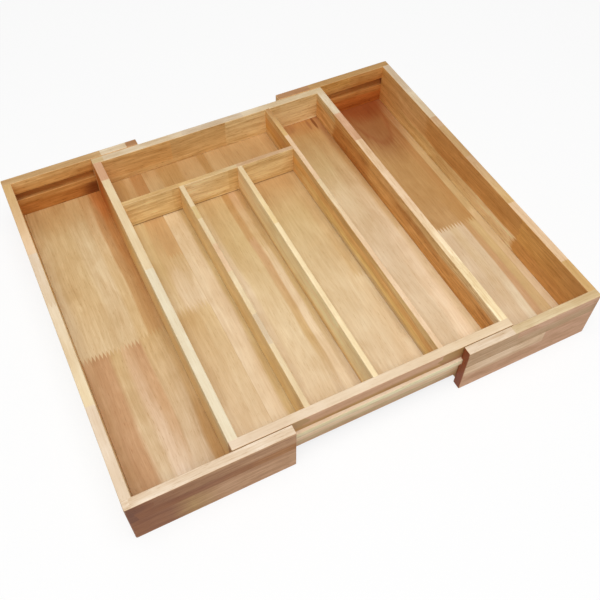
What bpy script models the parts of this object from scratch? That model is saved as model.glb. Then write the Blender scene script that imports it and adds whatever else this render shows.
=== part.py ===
"""Extending cutlery tray in laminated hardwood, drawn out to its full length.

A centre tray with fixed dividers hangs on two rails between a left and a right wing. Each wing
is a U-shaped tray of its own. Its front and back boards are grooved for the rails, and its floor
runs under the centre tray. A batten on that floor meets the lip of the centre tray when the wing
is fully out.

Lengths are in metres and +Z is up. The origin is on the table under the middle of the opened
tray. The wings slide along X, and the front of the tray faces -Y.
"""

from math import pi

import bmesh
import bpy
from mathutils import Vector

# Stock that the tray is made from, and its overall size
TRAY_DEPTH = 0.440
RIM_HEIGHT = 0.066
WALL_THICKNESS = 0.010
DIVIDER_THICKNESS = 0.006
FLOOR_THICKNESS = 0.005

# Centre tray
CENTER_LENGTH = 0.308
LIP_HEIGHT = 0.010
BACK_COMPARTMENT_DEPTH = 0.0735
SHORT_DIVIDERS = ("short_divider_left", "short_divider_right")

# Wings
SLIDE_TRAVEL = 0.094
WING_FLOOR_RISE = 0.0085
BATTEN_WIDTH = 0.010

# Rails that the centre tray hangs on
RAIL_HEIGHT = 0.0085
RAIL_PROJECTION = 0.0034
RAIL_HOUSING_DEPTH = 0.002
RAIL_RISE = 0.0245

# Joints in the wood
FLOOR_GROOVE_DEPTH = 0.004
CORNER_TONGUE_LENGTH = 0.003
DIVIDER_TONGUE_LENGTH = 0.002
TONGUE_SETBACK = 0.012
TONGUE_THICKNESS_SHARE = 0.5

# Fits
RUNNING_CLEARANCE = 0.0005
CLOSED_END_GAP = 0.001
GLUE_GAP = 0.0003

# Rounded and eased edges
CORNER_RADIUS = 0.0015
RIM_RADIUS = 0.001
ARRIS_RADIUS = 0.001
FLOOR_EDGE_RADIUS = 0.0005
RAIL_NOSE_RADIUS = 0.0008
GROOVE_MOUTH_CHAMFER = 0.0006
ROUNDING_STEPS = 4

# How far a tool runs past the face that it meets, and how near two points are one
OVERRUN = 0.002
MERGE_DISTANCE = 0.00001

# Levels above the table
WING_FLOOR_TOP = WING_FLOOR_RISE + FLOOR_THICKNESS
CENTER_FOOT = WING_FLOOR_TOP + RUNNING_CLEARANCE
CENTER_FLOOR_UNDERSIDE = CENTER_FOOT + LIP_HEIGHT
CENTER_FLOOR_TOP = CENTER_FLOOR_UNDERSIDE + FLOOR_THICKNESS
RAIL_BOTTOM = CENTER_FOOT + RAIL_RISE
RAIL_TOP = RAIL_BOTTOM + RAIL_HEIGHT
RAIL_LEVEL = (RAIL_BOTTOM + RAIL_TOP) / 2

# Distances from the middle of the tray, front to back
BOARD_OUTER_Y = TRAY_DEPTH / 2
BOARD_INNER_Y = BOARD_OUTER_Y - WALL_THICKNESS
CENTER_OUTER_Y = BOARD_INNER_Y - RUNNING_CLEARANCE
CENTER_INNER_Y = CENTER_OUTER_Y - WALL_THICKNESS
RAIL_ROOT_Y = CENTER_OUTER_Y - RAIL_HOUSING_DEPTH
RAIL_FACE_Y = CENTER_OUTER_Y + RAIL_PROJECTION
GROOVE_ROOT_Y = RAIL_FACE_Y + RUNNING_CLEARANCE
CROSS_BACK_Y = CENTER_INNER_Y - BACK_COMPARTMENT_DEPTH
CROSS_FRONT_Y = CROSS_BACK_Y - DIVIDER_THICKNESS

# Distances from the middle of the tray, left to right, with the wings drawn out
CENTER_OUTER_X = CENTER_LENGTH / 2
CENTER_INNER_X = CENTER_OUTER_X - WALL_THICKNESS
WING_OUTER_X = CENTER_OUTER_X + RUNNING_CLEARANCE + WALL_THICKNESS + SLIDE_TRAVEL
WING_INNER_X = WING_OUTER_X - WALL_THICKNESS
WING_END_X = SLIDE_TRAVEL + CLOSED_END_GAP / 2
BATTEN_OUTER_X = CENTER_INNER_X - RUNNING_CLEARANCE
BATTEN_INNER_X = BATTEN_OUTER_X - BATTEN_WIDTH

# The dividers share the centre tray out in slots of one width, the last one its full depth
SLOT_COUNT = len(SHORT_DIVIDERS) + 2
SLOT_WIDTH = (2 * CENTER_INNER_X - (SLOT_COUNT - 1) * DIVIDER_THICKNESS) / SLOT_COUNT
LONG_DIVIDER_RIGHT_X = CENTER_INNER_X - SLOT_WIDTH
LONG_DIVIDER_LEFT_X = LONG_DIVIDER_RIGHT_X - DIVIDER_THICKNESS

# The two sides along an axis: the sign, then the face that looks out and the one that looks in
LEFT_AND_RIGHT = ((-1, "left", "right"), (1, "right", "left"))
FRONT_AND_BACK = ((-1, "front", "back"), (1, "back", "front"))
FACE_DIRECTIONS = {
    "left": Vector((-1, 0, 0)),
    "right": Vector((1, 0, 0)),
    "front": Vector((0, -1, 0)),
    "back": Vector((0, 1, 0)),
    "bottom": Vector((0, 0, -1)),
    "top": Vector((0, 0, 1)),
}

# Turns a section drawn in depth and height upright, so that its thickness runs along X
SECTION_ACROSS_X = (pi / 2, 0, pi / 2)

# Tones of the wood, from the bright rims to the boards in the shade
CREAM = (0.80, 0.62, 0.38)
STRAW = (0.73, 0.52, 0.28)
TAN = (0.66, 0.44, 0.23)
PINK_BROWN = (0.60, 0.37, 0.23)
UMBER = (0.42, 0.24, 0.13)
LACQUER_ROUGHNESS = 0.45


def empty_the_scene():
    """Remove every object that the file opened with."""
    for leftover in list(bpy.data.objects):
        bpy.data.objects.remove(leftover, do_unlink=True)


def new_collection(name):
    """Add a collection to the scene."""
    collection = bpy.data.collections.new(name)
    bpy.context.scene.collection.children.link(collection)
    return collection


def new_frame(collection, name, place, parent=None):
    """An empty that carries the pieces of one moving group."""
    frame = bpy.data.objects.new(name, None)
    frame.empty_display_size = WALL_THICKNESS
    frame.location = place
    frame.parent = parent
    collection.objects.link(frame)
    return frame


def new_wood(name, tone):
    """Lacquered wood of one tone."""
    wood = bpy.data.materials.new(name)
    wood.use_nodes = True
    shader = wood.node_tree.nodes["Principled BSDF"]
    shader.inputs["Base Color"].default_value = (*tone, 1)
    shader.inputs["Roughness"].default_value = LACQUER_ROUGHNESS
    shader.inputs["Metallic"].default_value = 0
    wood.diffuse_color = (*tone, 1)
    return wood


def edges_between(face, neighbours, radius):
    """The edges where a face of a board meets its neighbours, with their radius."""
    return {frozenset((face, neighbour)): radius for neighbour in neighbours}


def face_name(normal):
    """The side of a block that a face with this normal lies on."""
    return max(FACE_DIRECTIONS, key=lambda name: FACE_DIRECTIONS[name].dot(normal))


def block_mesh(name, size, radii):
    """A block whose edges are weighted by the share of the widest radius that each is given."""
    widest = max(radii.values(), default=0)
    form = bmesh.new()
    bmesh.ops.create_cube(form, size=1)
    bmesh.ops.scale(form, vec=size, verts=form.verts)
    form.normal_update()
    weight = form.edges.layers.float.new("bevel_weight_edge")
    for edge in form.edges:
        sides = frozenset(face_name(face.normal) for face in edge.link_faces)
        if sides in radii:
            edge[weight] = radii[sides] / widest
    mesh = bpy.data.meshes.new(name)
    form.to_mesh(mesh)
    form.free()
    return mesh


def new_block(collection, name, parent, x, y, z, radii):
    """A block between three pairs of world coordinates, carried by a frame."""
    low = Vector((min(x), min(y), min(z)))
    high = Vector((max(x), max(y), max(z)))
    block = bpy.data.objects.new(name, block_mesh(name, high - low, radii))
    block.parent = parent
    block.location = (low + high) / 2 - parent.location
    collection.objects.link(block)
    return block


def new_board(name, parent, x, y, z, radii, tone):
    """A board between three pairs of world coordinates, with eased edges."""
    board = new_block(PARTS, name, parent, x, y, z, radii)
    board.data.shade_smooth()
    board.data.set_sharp_from_angle(angle=0)
    board.data.materials.append(new_wood(name + "_wood", tone))
    easing = board.modifiers.new("eased edges", "BEVEL")
    easing.limit_method = "WEIGHT"
    easing.width = max(radii.values())
    easing.segments = ROUNDING_STEPS
    easing.harden_normals = True
    board.modifiers.new("flat facets", "TRIANGULATE")
    return board


def keep_out_of_view(tool):
    """Show a tool as wires only, and leave it out of the finished tray."""
    tool.hide_render = True
    tool.display_type = "WIRE"


def combine(board, tool, operation):
    """Cut a board with a tool, or join the tool to it."""
    step = board.modifiers.new(tool.name, "BOOLEAN")
    step.operation = operation
    step.solver = "EXACT"
    step.object = tool


def grown(span):
    """A pair of coordinates with room for glue on both sides."""
    return min(span) - GLUE_GAP, max(span) + GLUE_GAP


def let_in(name, parent, x, y, z, receivers):
    """House a block in the pieces around it, with room for glue on every side."""
    housing = new_block(TOOLS, name + "_housing", parent, grown(x), grown(y), grown(z), {})
    keep_out_of_view(housing)
    for receiver in receivers:
        combine(receiver, housing, "DIFFERENCE")


def add_tongue(name, board, receiver, x, y, z):
    """Give a board's end a hidden tongue, housed in the face that receives it."""
    tongue = new_block(TOOLS, name, board.parent, x, y, z, {})
    keep_out_of_view(tongue)
    combine(board, tongue, "UNION")
    let_in(name, board.parent, x, y, z, (receiver,))


def tongue_thickness(span):
    """The middle share of a board's thickness, which its tongue keeps."""
    middle = (min(span) + max(span)) / 2
    half = (max(span) - min(span)) * TONGUE_THICKNESS_SHARE / 2
    return middle - half, middle + half


def tongue_reach(face, outward, length):
    """From inside a board to the end of its tongue beyond the face that receives it."""
    return face - outward * OVERRUN, face + outward * (length - GLUE_GAP)


def tongue_height(bottom):
    """A tongue stops short of both edges of its board, so that no end of it shows."""
    return bottom + TONGUE_SETBACK, RIM_HEIGHT - TONGUE_SETBACK


def mesh_from_drawing(name, drawing):
    """Turn a drawn outline into a closed mesh object in the same place."""
    bpy.context.view_layer.update()
    evaluated = drawing.evaluated_get(bpy.context.evaluated_depsgraph_get())
    mesh = bpy.data.meshes.new_from_object(evaluated)
    form = bmesh.new()
    form.from_mesh(mesh)
    bmesh.ops.remove_doubles(form, verts=form.verts, dist=MERGE_DISTANCE)
    bmesh.ops.recalc_face_normals(form, faces=form.faces)
    form.to_mesh(mesh)
    form.free()
    solid = bpy.data.objects.new(name, mesh)
    solid.parent = drawing.parent
    TOOLS.objects.link(solid)
    solid.matrix_world = drawing.matrix_world
    bpy.data.objects.remove(drawing, do_unlink=True)
    return solid


def cut_rail_groove(board, x, facing):
    """Groove the inner face of a board for a rail, with the groove's mouth chamfered."""
    low = RAIL_BOTTOM - RUNNING_CLEARANCE
    high = RAIL_TOP + RUNNING_CLEARANCE
    flare = GROOVE_MOUTH_CHAMFER + OVERRUN
    section = (
        (BOARD_INNER_Y - OVERRUN, low - flare),
        (BOARD_INNER_Y + GROOVE_MOUTH_CHAMFER, low),
        (GROOVE_ROOT_Y, low),
        (GROOVE_ROOT_Y, high),
        (BOARD_INNER_Y + GROOVE_MOUTH_CHAMFER, high),
        (BOARD_INNER_Y - OVERRUN, high + flare),
    )
    name = board.name + "_rail_groove"
    outline = bpy.data.curves.new(name, "CURVE")
    outline.dimensions = "2D"
    outline.fill_mode = "BOTH"
    outline.extrude = (max(x) - min(x)) / 2
    spline = outline.splines.new("POLY")
    spline.points.add(len(section) - 1)
    for point, (depth, height) in zip(spline.points, section):
        point.co = (facing * depth, height, 0, 1)
    spline.use_cyclic_u = True
    drawing = bpy.data.objects.new(name + "_drawing", outline)
    drawing.parent = board.parent
    drawing.location = Vector(((max(x) + min(x)) / 2, 0, 0)) - board.parent.location
    drawing.rotation_euler = SECTION_ACROSS_X
    TOOLS.objects.link(drawing)
    groove = mesh_from_drawing(name, drawing)
    keep_out_of_view(groove)
    combine(board, groove, "DIFFERENCE")


def make_center_walls(root):
    """The four walls of the centre tray, its side walls tongued into the front and the back."""
    height = (CENTER_FOOT, RIM_HEIGHT)
    walls = {}
    for sign, outward, inward in FRONT_AND_BACK:
        radii = {
            **edges_between("top", (outward, "left", "right"), RIM_RADIUS),
            **edges_between(outward, ("left", "right"), RIM_RADIUS),
            **edges_between("top", (inward,), ARRIS_RADIUS),
            **edges_between("bottom", (outward, inward, "left", "right"), ARRIS_RADIUS),
        }
        x = (-CENTER_OUTER_X, CENTER_OUTER_X)
        y = (sign * CENTER_INNER_Y, sign * CENTER_OUTER_Y)
        walls[outward] = new_board(f"center_{outward}_wall", root, x, y, height, radii, STRAW)
    for sign, outward, inward in LEFT_AND_RIGHT:
        radii = {
            **edges_between("top", (outward,), RIM_RADIUS),
            **edges_between("top", (inward,), ARRIS_RADIUS),
            **edges_between("bottom", (outward, inward), ARRIS_RADIUS),
        }
        x = (sign * CENTER_INNER_X, sign * CENTER_OUTER_X)
        y = (-CENTER_INNER_Y + GLUE_GAP, CENTER_INNER_Y - GLUE_GAP)
        wall = new_board(f"center_{outward}_wall", root, x, y, height, radii, CREAM)
        for facing, end, _ in FRONT_AND_BACK:
            add_tongue(
                f"center_{end}_{outward}_corner",
                wall,
                walls[end],
                tongue_thickness(x),
                tongue_reach(facing * CENTER_INNER_Y, facing, CORNER_TONGUE_LENGTH),
                tongue_height(CENTER_FOOT),
            )
        walls[outward] = wall
    return walls


def make_center_floor(root, walls):
    """The floor of the centre tray, held in a groove round all four walls."""
    reach_x = CENTER_INNER_X + FLOOR_GROOVE_DEPTH - GLUE_GAP
    reach_y = CENTER_INNER_Y + FLOOR_GROOVE_DEPTH - GLUE_GAP
    x = (-reach_x, reach_x)
    y = (-reach_y, reach_y)
    z = (CENTER_FLOOR_UNDERSIDE, CENTER_FLOOR_TOP)
    radii = edges_between("top", ("left", "right", "front", "back"), FLOOR_EDGE_RADIUS)
    new_board("center_floor", root, x, y, z, radii, TAN)
    let_in("center_floor", root, x, y, z, walls.values())


def make_rails(root, walls):
    """A rail on the outside of the front and the back wall, which the wings slide along."""
    for sign, outward, _ in FRONT_AND_BACK:
        radii = {
            **edges_between(outward, ("top", "bottom"), RAIL_NOSE_RADIUS),
            **edges_between(outward, ("left", "right"), ARRIS_RADIUS),
            **edges_between("top", ("left", "right"), ARRIS_RADIUS),
        }
        x = (-CENTER_OUTER_X, CENTER_OUTER_X)
        y = (sign * (RAIL_ROOT_Y + GLUE_GAP), sign * RAIL_FACE_Y)
        z = (RAIL_BOTTOM, RAIL_TOP)
        name = f"{outward}_slide_rail"
        new_board(name, root, x, y, z, radii, PINK_BROWN)
        let_in(name, root, x, y, z, (walls[outward],))


def make_divider(name, root, x, y):
    """A thin board on the floor of the centre tray, flush with the rim."""
    runs_across = max(x) - min(x) > max(y) - min(y)
    faces = ("front", "back") if runs_across else ("left", "right")
    radii = edges_between("top", faces, ARRIS_RADIUS)
    return new_board(name, root, x, y, (CENTER_FLOOR_TOP + GLUE_GAP, RIM_HEIGHT), radii, STRAW)


def make_dividers(root, walls):
    """One divider from front to back, a cross divider beside it, and short ones before that."""
    height = tongue_height(CENTER_FLOOR_TOP + GLUE_GAP)
    front_y = -CENTER_INNER_Y
    long_x = (LONG_DIVIDER_LEFT_X, LONG_DIVIDER_RIGHT_X)
    long_y = (front_y + GLUE_GAP, CENTER_INNER_Y - GLUE_GAP)
    long_divider = make_divider("long_divider", root, long_x, long_y)
    for facing, end, _ in FRONT_AND_BACK:
        reach = tongue_reach(facing * CENTER_INNER_Y, facing, DIVIDER_TONGUE_LENGTH)
        name = f"long_divider_{end}_tongue"
        add_tongue(name, long_divider, walls[end], tongue_thickness(long_x), reach, height)

    cross_x = (-CENTER_INNER_X + GLUE_GAP, LONG_DIVIDER_LEFT_X - GLUE_GAP)
    cross_y = (CROSS_FRONT_Y, CROSS_BACK_Y)
    cross_divider = make_divider("cross_divider", root, cross_x, cross_y)
    cross_ends = ((-1, -CENTER_INNER_X, walls["left"]), (1, LONG_DIVIDER_LEFT_X, long_divider))
    for facing, face, receiver in cross_ends:
        reach = tongue_reach(face, facing, DIVIDER_TONGUE_LENGTH)
        name = f"cross_divider_tongue_in_{receiver.name}"
        add_tongue(name, cross_divider, receiver, reach, tongue_thickness(cross_y), height)

    for place, name in enumerate(SHORT_DIVIDERS):
        left = -CENTER_INNER_X + SLOT_WIDTH + place * (SLOT_WIDTH + DIVIDER_THICKNESS)
        x = (left, left + DIVIDER_THICKNESS)
        y = (front_y + GLUE_GAP, CROSS_FRONT_Y - GLUE_GAP)
        divider = make_divider(name, root, x, y)
        ends = ((-1, front_y, walls["front"]), (1, CROSS_FRONT_Y, cross_divider))
        for facing, face, receiver in ends:
            reach = tongue_reach(face, facing, DIVIDER_TONGUE_LENGTH)
            joint = f"{name}_tongue_in_{receiver.name}"
            add_tongue(joint, divider, receiver, tongue_thickness(x), reach, height)


def make_wing(root, sign, outward, inward):
    """One U-shaped wing: two grooved boards, a side wall, a floor and its stop batten."""
    wing = f"{outward}_wing"
    frame = new_frame(PARTS, wing + "_slide", (sign * CENTER_OUTER_X, 0, RAIL_LEVEL), root)
    height = (0, RIM_HEIGHT)

    boards = {}
    for facing, out_face, in_face in FRONT_AND_BACK:
        radii = {
            **edges_between(out_face, (outward,), CORNER_RADIUS),
            **edges_between("top", (out_face, outward, inward), RIM_RADIUS),
            **edges_between("top", (in_face,), ARRIS_RADIUS),
            **edges_between(inward, (out_face, in_face), ARRIS_RADIUS),
            **edges_between("bottom", (out_face, in_face, outward, inward), ARRIS_RADIUS),
        }
        x = (sign * WING_END_X, sign * WING_OUTER_X)
        y = (facing * BOARD_INNER_Y, facing * BOARD_OUTER_Y)
        board = new_board(f"{wing}_{out_face}_board", frame, x, y, height, radii, PINK_BROWN)
        groove_x = (sign * (WING_END_X - OVERRUN), sign * WING_INNER_X)
        cut_rail_groove(board, groove_x, facing)
        boards[out_face] = board

    radii = {
        **edges_between("top", (outward,), RIM_RADIUS),
        **edges_between("top", (inward,), ARRIS_RADIUS),
        **edges_between("bottom", (outward, inward), ARRIS_RADIUS),
    }
    x = (sign * WING_INNER_X, sign * WING_OUTER_X)
    y = (-BOARD_INNER_Y + GLUE_GAP, BOARD_INNER_Y - GLUE_GAP)
    side_wall = new_board(wing + "_side_wall", frame, x, y, height, radii, CREAM)
    for facing, end, _ in FRONT_AND_BACK:
        reach = tongue_reach(facing * BOARD_INNER_Y, facing, CORNER_TONGUE_LENGTH)
        name = f"{wing}_{end}_corner"
        add_tongue(name, side_wall, boards[end], tongue_thickness(x), reach, tongue_height(0))

    reach_x = WING_INNER_X + FLOOR_GROOVE_DEPTH - GLUE_GAP
    reach_y = BOARD_INNER_Y + FLOOR_GROOVE_DEPTH - GLUE_GAP
    x = (sign * WING_END_X, sign * reach_x)
    y = (-reach_y, reach_y)
    z = (WING_FLOOR_RISE, WING_FLOOR_TOP)
    radii = edges_between(inward, ("top", "bottom"), ARRIS_RADIUS)
    new_board(wing + "_floor", frame, x, y, z, radii, TAN)
    let_in(wing + "_floor", frame, x, y, z, (*boards.values(), side_wall))

    half_length = CENTER_INNER_Y - RUNNING_CLEARANCE
    radii = edges_between("top", ("left", "right", "front", "back"), ARRIS_RADIUS)
    new_board(
        wing + "_stop_batten",
        frame,
        (sign * BATTEN_INNER_X, sign * BATTEN_OUTER_X),
        (-half_length, half_length),
        (WING_FLOOR_TOP + GLUE_GAP, CENTER_FLOOR_UNDERSIDE - RUNNING_CLEARANCE),
        radii,
        UMBER,
    )


empty_the_scene()
PARTS = new_collection("cutlery_tray")
TOOLS = new_collection("cutters")

center_tray = new_frame(PARTS, "center_tray", (0, 0, 0))
center_walls = make_center_walls(center_tray)
make_center_floor(center_tray, center_walls)
make_rails(center_tray, center_walls)
make_dividers(center_tray, center_walls)
for wing_sign, wing_outward, wing_inward in LEFT_AND_RIGHT:
    make_wing(center_tray, wing_sign, wing_outward, wing_inward)
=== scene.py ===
"""Dressed model of an extending cutlery tray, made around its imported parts.

Lengths are in metres, apart from the layouts of the wood, which are in millimetres. +Z is up, the
wings slide along X and the front of the tray faces -Y.
"""

import logging
import math
from dataclasses import dataclass
from enum import Enum
from typing import Any, Callable, ClassVar, Optional, Union

import bpy
from mathutils import Matrix, Vector


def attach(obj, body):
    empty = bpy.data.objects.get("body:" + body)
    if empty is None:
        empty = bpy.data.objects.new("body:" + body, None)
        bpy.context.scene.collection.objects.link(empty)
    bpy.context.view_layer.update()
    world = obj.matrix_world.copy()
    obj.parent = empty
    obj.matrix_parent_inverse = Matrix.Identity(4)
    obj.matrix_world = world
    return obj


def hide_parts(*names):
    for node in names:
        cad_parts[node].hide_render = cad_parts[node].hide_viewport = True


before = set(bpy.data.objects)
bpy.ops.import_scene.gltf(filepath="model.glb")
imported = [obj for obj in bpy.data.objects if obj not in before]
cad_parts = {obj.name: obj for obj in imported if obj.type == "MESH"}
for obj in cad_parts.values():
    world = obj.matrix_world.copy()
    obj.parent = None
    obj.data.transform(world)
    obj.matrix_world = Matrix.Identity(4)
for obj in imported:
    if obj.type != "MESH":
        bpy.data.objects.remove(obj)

LOG = logging.getLogger("cutlery_tray")

Number = Union[int, float]
Colour = tuple[float, float, float, float]
Span = tuple[float, float]
Triple = tuple[float, float, float]

MM_PER_METRE = 1000.0
WHITE: Colour = (1.0, 1.0, 1.0, 1.0)
ARRIS = "arris"


class Axis(Enum):
    """A direction of the tray, by its place in a vector."""

    X = 0
    Y = 1
    Z = 2


class Lay(Enum):
    """How wood lies in a board: the axes of its grain, its lamellas and the fingers of a joint."""

    ALONG_X = (Axis.X, Axis.Z, Axis.Y)
    ALONG_Y = (Axis.Y, Axis.Z, Axis.X)
    FLAT = (Axis.Y, Axis.X, Axis.X)


class Side(Enum):
    """The side that a wing is drawn out to, by the sign of X."""

    LEFT = -1
    RIGHT = 1


class End(Enum):
    """The front or the back of the tray, by the sign of Y."""

    FRONT = -1
    BACK = 1


class Tone(Enum):
    """Tones of the lacquered wood, in 8-bit display values."""

    MILK = (252, 236, 190)
    CHALK = (239, 223, 190)
    IVORY = (233, 208, 178)
    CREAM = (237, 211, 167)
    PALE = (253, 228, 180)
    STARCH = (238, 211, 174)
    APRICOT = (244, 213, 154)
    GOLD = (237, 203, 142)
    MAIZE = (243, 208, 138)
    PEACH = (238, 202, 161)
    STRAW = (225, 194, 136)
    BUTTER = (228, 187, 124)
    LINEN = (224, 199, 163)
    SHELL = (215, 190, 158)
    SAND = (221, 195, 153)
    WHEAT = (214, 184, 136)
    OAT = (208, 178, 126)
    ALMOND = (203, 169, 118)
    HUSK = (217, 176, 116)
    FAWN = (206, 166, 123)
    ROSE = (218, 169, 130)
    AMBER = (235, 187, 119)
    COPPER = (230, 176, 98)
    HONEY = (219, 162, 92)
    OCHRE = (199, 158, 106)
    HAZEL = (197, 154, 112)
    BISCUIT = (200, 152, 110)
    TOFFEE = (190, 146, 90)
    CINNAMON = (188, 138, 84)
    CLAY = (180, 131, 88)
    RUST = (203, 137, 69)
    CHESTNUT = (199, 116, 51)
    COCOA = (176, 116, 58)
    BARK = (156, 100, 60)
    SIENNA = (150, 90, 45)
    MAHOGANY = (142, 66, 25)
    UMBER = (124, 69, 33)

    def linear(self) -> Colour:
        """The tone in scene-linear values; none is dark enough for the straight foot of sRGB."""
        red, green, blue = (((part / 255 + 0.055) / 1.055) ** 2.4 for part in self.value)
        return red, green, blue, 1.0


# The tones by their bare names, for the tables of staves
(
    MILK, CHALK, IVORY, CREAM, PALE, STARCH, APRICOT, GOLD, MAIZE, PEACH, STRAW, BUTTER, LINEN,
    SHELL, SAND, WHEAT, OAT, ALMOND, HUSK, FAWN, ROSE, AMBER, COPPER, HONEY, OCHRE, HAZEL,
    BISCUIT, TOFFEE, CINNAMON, CLAY, RUST, CHESTNUT, COCOA, BARK, SIENNA, MAHOGANY, UMBER,
) = Tone


def operator(operation: str, swapped: bool = False) -> Callable[..., "Value"]:
    """Make a method of Value that adds a Math node.

    Args:
        operation: The node's operation.
        swapped: Whether the value is the last operand, as in 1 - value, and not the first.

    Returns:
        The method.
    """

    def method(self: "Value", *others: "Operand") -> "Value":
        """The outcome for this value and the others."""
        return self.graph.math(operation, *((*others, self) if swapped else (self, *others)))

    return method


class Value:
    """A socket of a node tree that takes part in Python expressions."""

    __add__ = __radd__ = operator("ADD")
    __sub__ = operator("SUBTRACT")
    __rsub__ = operator("SUBTRACT", swapped=True)
    __mul__ = __rmul__ = operator("MULTIPLY")
    __truediv__ = operator("DIVIDE")
    __rtruediv__ = operator("DIVIDE", swapped=True)
    __pow__ = operator("POWER")
    __rpow__ = operator("POWER", swapped=True)
    __gt__ = operator("GREATER_THAN")
    __lt__ = operator("LESS_THAN")
    __abs__ = operator("ABSOLUTE")
    sign = operator("SIGN")
    root = operator("SQRT")
    most = operator("MAXIMUM")
    least = operator("MINIMUM")

    def __init__(self, graph: "Graph", socket: bpy.types.NodeSocket) -> None:
        """Wrap an output socket of a graph."""
        self.graph = graph
        self.socket = socket

    def output(self, name: str) -> "Value":
        """Another output of the same node."""
        return Value(self.graph, self.socket.node.outputs[name])


Operand = Union[Value, Number]


class Graph:
    """Adds nodes to one node tree and joins them up."""

    def __init__(self, tree: bpy.types.NodeTree) -> None:
        """Work on a node tree."""
        self.tree = tree

    def add(
        self,
        kind: str,
        settings: Optional[dict[str, Any]] = None,
        inputs: Optional[dict[Union[str, int], Any]] = None,
        output: Union[str, int] = 0,
    ) -> Value:
        """Add a node of any type.

        Args:
            kind: The type of the node.
            settings: Its properties, with the stops of a colour ramp under "stops".
            inputs: What each of its sockets is set to or linked from.
            output: The output socket that is wanted.

        Returns:
            The wanted output as a value.
        """
        node = self.tree.nodes.new(kind)
        for name, setting in (settings or {}).items():
            if name == "stops":
                self._set_stops(node.color_ramp, setting)
            else:
                setattr(node, name, setting)
        for key, source in (inputs or {}).items():
            self.feed(node.inputs[key], source)
        return Value(self, node.outputs[output])

    def feed(self, socket: bpy.types.NodeSocket, source: Any) -> None:
        """Set an input socket, or link it from a value.

        Args:
            socket: The input socket.
            source: A value to link from, or a number, a colour or another setting.
        """
        if isinstance(source, Value):
            self.tree.links.new(source.socket, socket)
        else:
            socket.default_value = source

    @staticmethod
    def _set_stops(ramp: bpy.types.ColorRamp, stops: list[tuple[float, Colour]]) -> None:
        """Give a colour ramp its stops.

        Args:
            ramp: The colour ramp of a new node.
            stops: The places and colours of the stops, from low to high.
        """
        while len(ramp.elements) > 1:
            ramp.elements.remove(ramp.elements[-1])
        ramp.elements[0].position, ramp.elements[0].color = stops[0]
        for position, colour in stops[1:]:
            ramp.elements.new(position).color = colour

    def math(self, operation: str, *operands: Operand) -> Value:
        """Add a Math node."""
        return self.add("ShaderNodeMath", {"operation": operation}, dict(enumerate(operands)))

    def vector(self, x: Operand, y: Operand, z: Operand) -> Value:
        """Three values as a vector."""
        return self.add("ShaderNodeCombineXYZ", inputs={0: x, 1: y, 2: z})

    def split(self, source: Any) -> tuple[Value, Value, Value]:
        """The three parts of a vector."""
        parts = self.add("ShaderNodeSeparateXYZ", inputs={0: source})
        return parts.output("X"), parts.output("Y"), parts.output("Z")

    def mix(self, factor: Operand, first: Any, second: Any, blend: str = "MIX") -> Value:
        """Mix two colours.

        Args:
            factor: The share of the second colour.
            first: The colour where the factor is zero.
            second: The colour that is mixed in.
            blend: How it is mixed in.

        Returns:
            The mixed colour.
        """
        settings = {"data_type": "RGBA", "blend_type": blend}
        return self.add("ShaderNodeMix", settings, {0: factor, 6: first, 7: second}, output=2)

    def ramp(self, value: Operand, low: float, high: float) -> Value:
        """A smooth rise from zero to one between two values."""
        settings = {"interpolation_type": "SMOOTHSTEP"}
        return self.add("ShaderNodeMapRange", settings, {0: value, 1: low, 2: high, 3: 0.0, 4: 1.0})

    def noise(self, place: Value, detail: float = 2.0) -> Value:
        """Noise of unit scale over a place that has been stretched already."""
        inputs = {"Vector": place, "Scale": 1.0, "Detail": detail, "Roughness": 0.5}
        return self.add("ShaderNodeTexNoise", {"noise_dimensions": "3D"}, inputs)


@dataclass(frozen=True)
class Stave:
    """A length of wood in a lamella, up to where the next one is finger-jointed to it.

    Its tone may pass evenly into another one towards its far end.
    """

    end: float
    tone: Tone
    far: Optional[Tone] = None

    @property
    def last(self) -> Tone:
        """The tone at the far end."""
        return self.far or self.tone


@dataclass(frozen=True)
class Lamella:
    """A row of staves, up to the glue line of the next row or to where another band begins."""

    edge: float
    staves: tuple[Stave, ...]
    soft: float = 0.0


@dataclass(frozen=True)
class Blush:
    """A soft patch of another tone on a floor: heartwood and painted shade alike, maybe outlined.
    """

    x: float
    y: float
    reach_x: float
    reach_y: float
    tone: Tone
    strength: float
    outline: float = 0.0

    DEPTH: ClassVar[float] = 40.0
    RAGGED: ClassVar[float] = 0.35
    EDGE: ClassVar[Span] = (1.0, 0.25)
    OUTLINE_AT: ClassVar[float] = 0.9
    OUTLINE_WIDTH: ClassVar[float] = 0.22

    def lay(
        self, graph: Graph, colour: Value, place: tuple[Value, ...], level: float, streak: Value
    ) -> Value:
        """Lay the patch over the wood.

        Args:
            graph: The graph to add to.
            colour: The wood's colour so far.
            place: The place on the tray.
            level: The height of the floor.
            streak: Noise that makes the patch ragged.

        Returns:
            The colour with its patch.
        """
        distance: Operand = (streak - 0.5) * self.RAGGED
        middle = (self.x, self.y, level)
        reach = (self.reach_x, self.reach_y, self.DEPTH)
        for part, centre, half in zip(place, middle, reach):
            offset = (part - centre) / half
            distance = distance + offset * offset
        mask = graph.ramp(distance, *self.EDGE) * self.strength
        colour = graph.mix(mask, colour, self.tone.linear())
        if self.outline:
            ring = graph.ramp(abs(distance - self.OUTLINE_AT), self.OUTLINE_WIDTH, 0.0)
            colour = graph.mix(ring * self.outline, colour, MAHOGANY.linear())
        return colour


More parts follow.
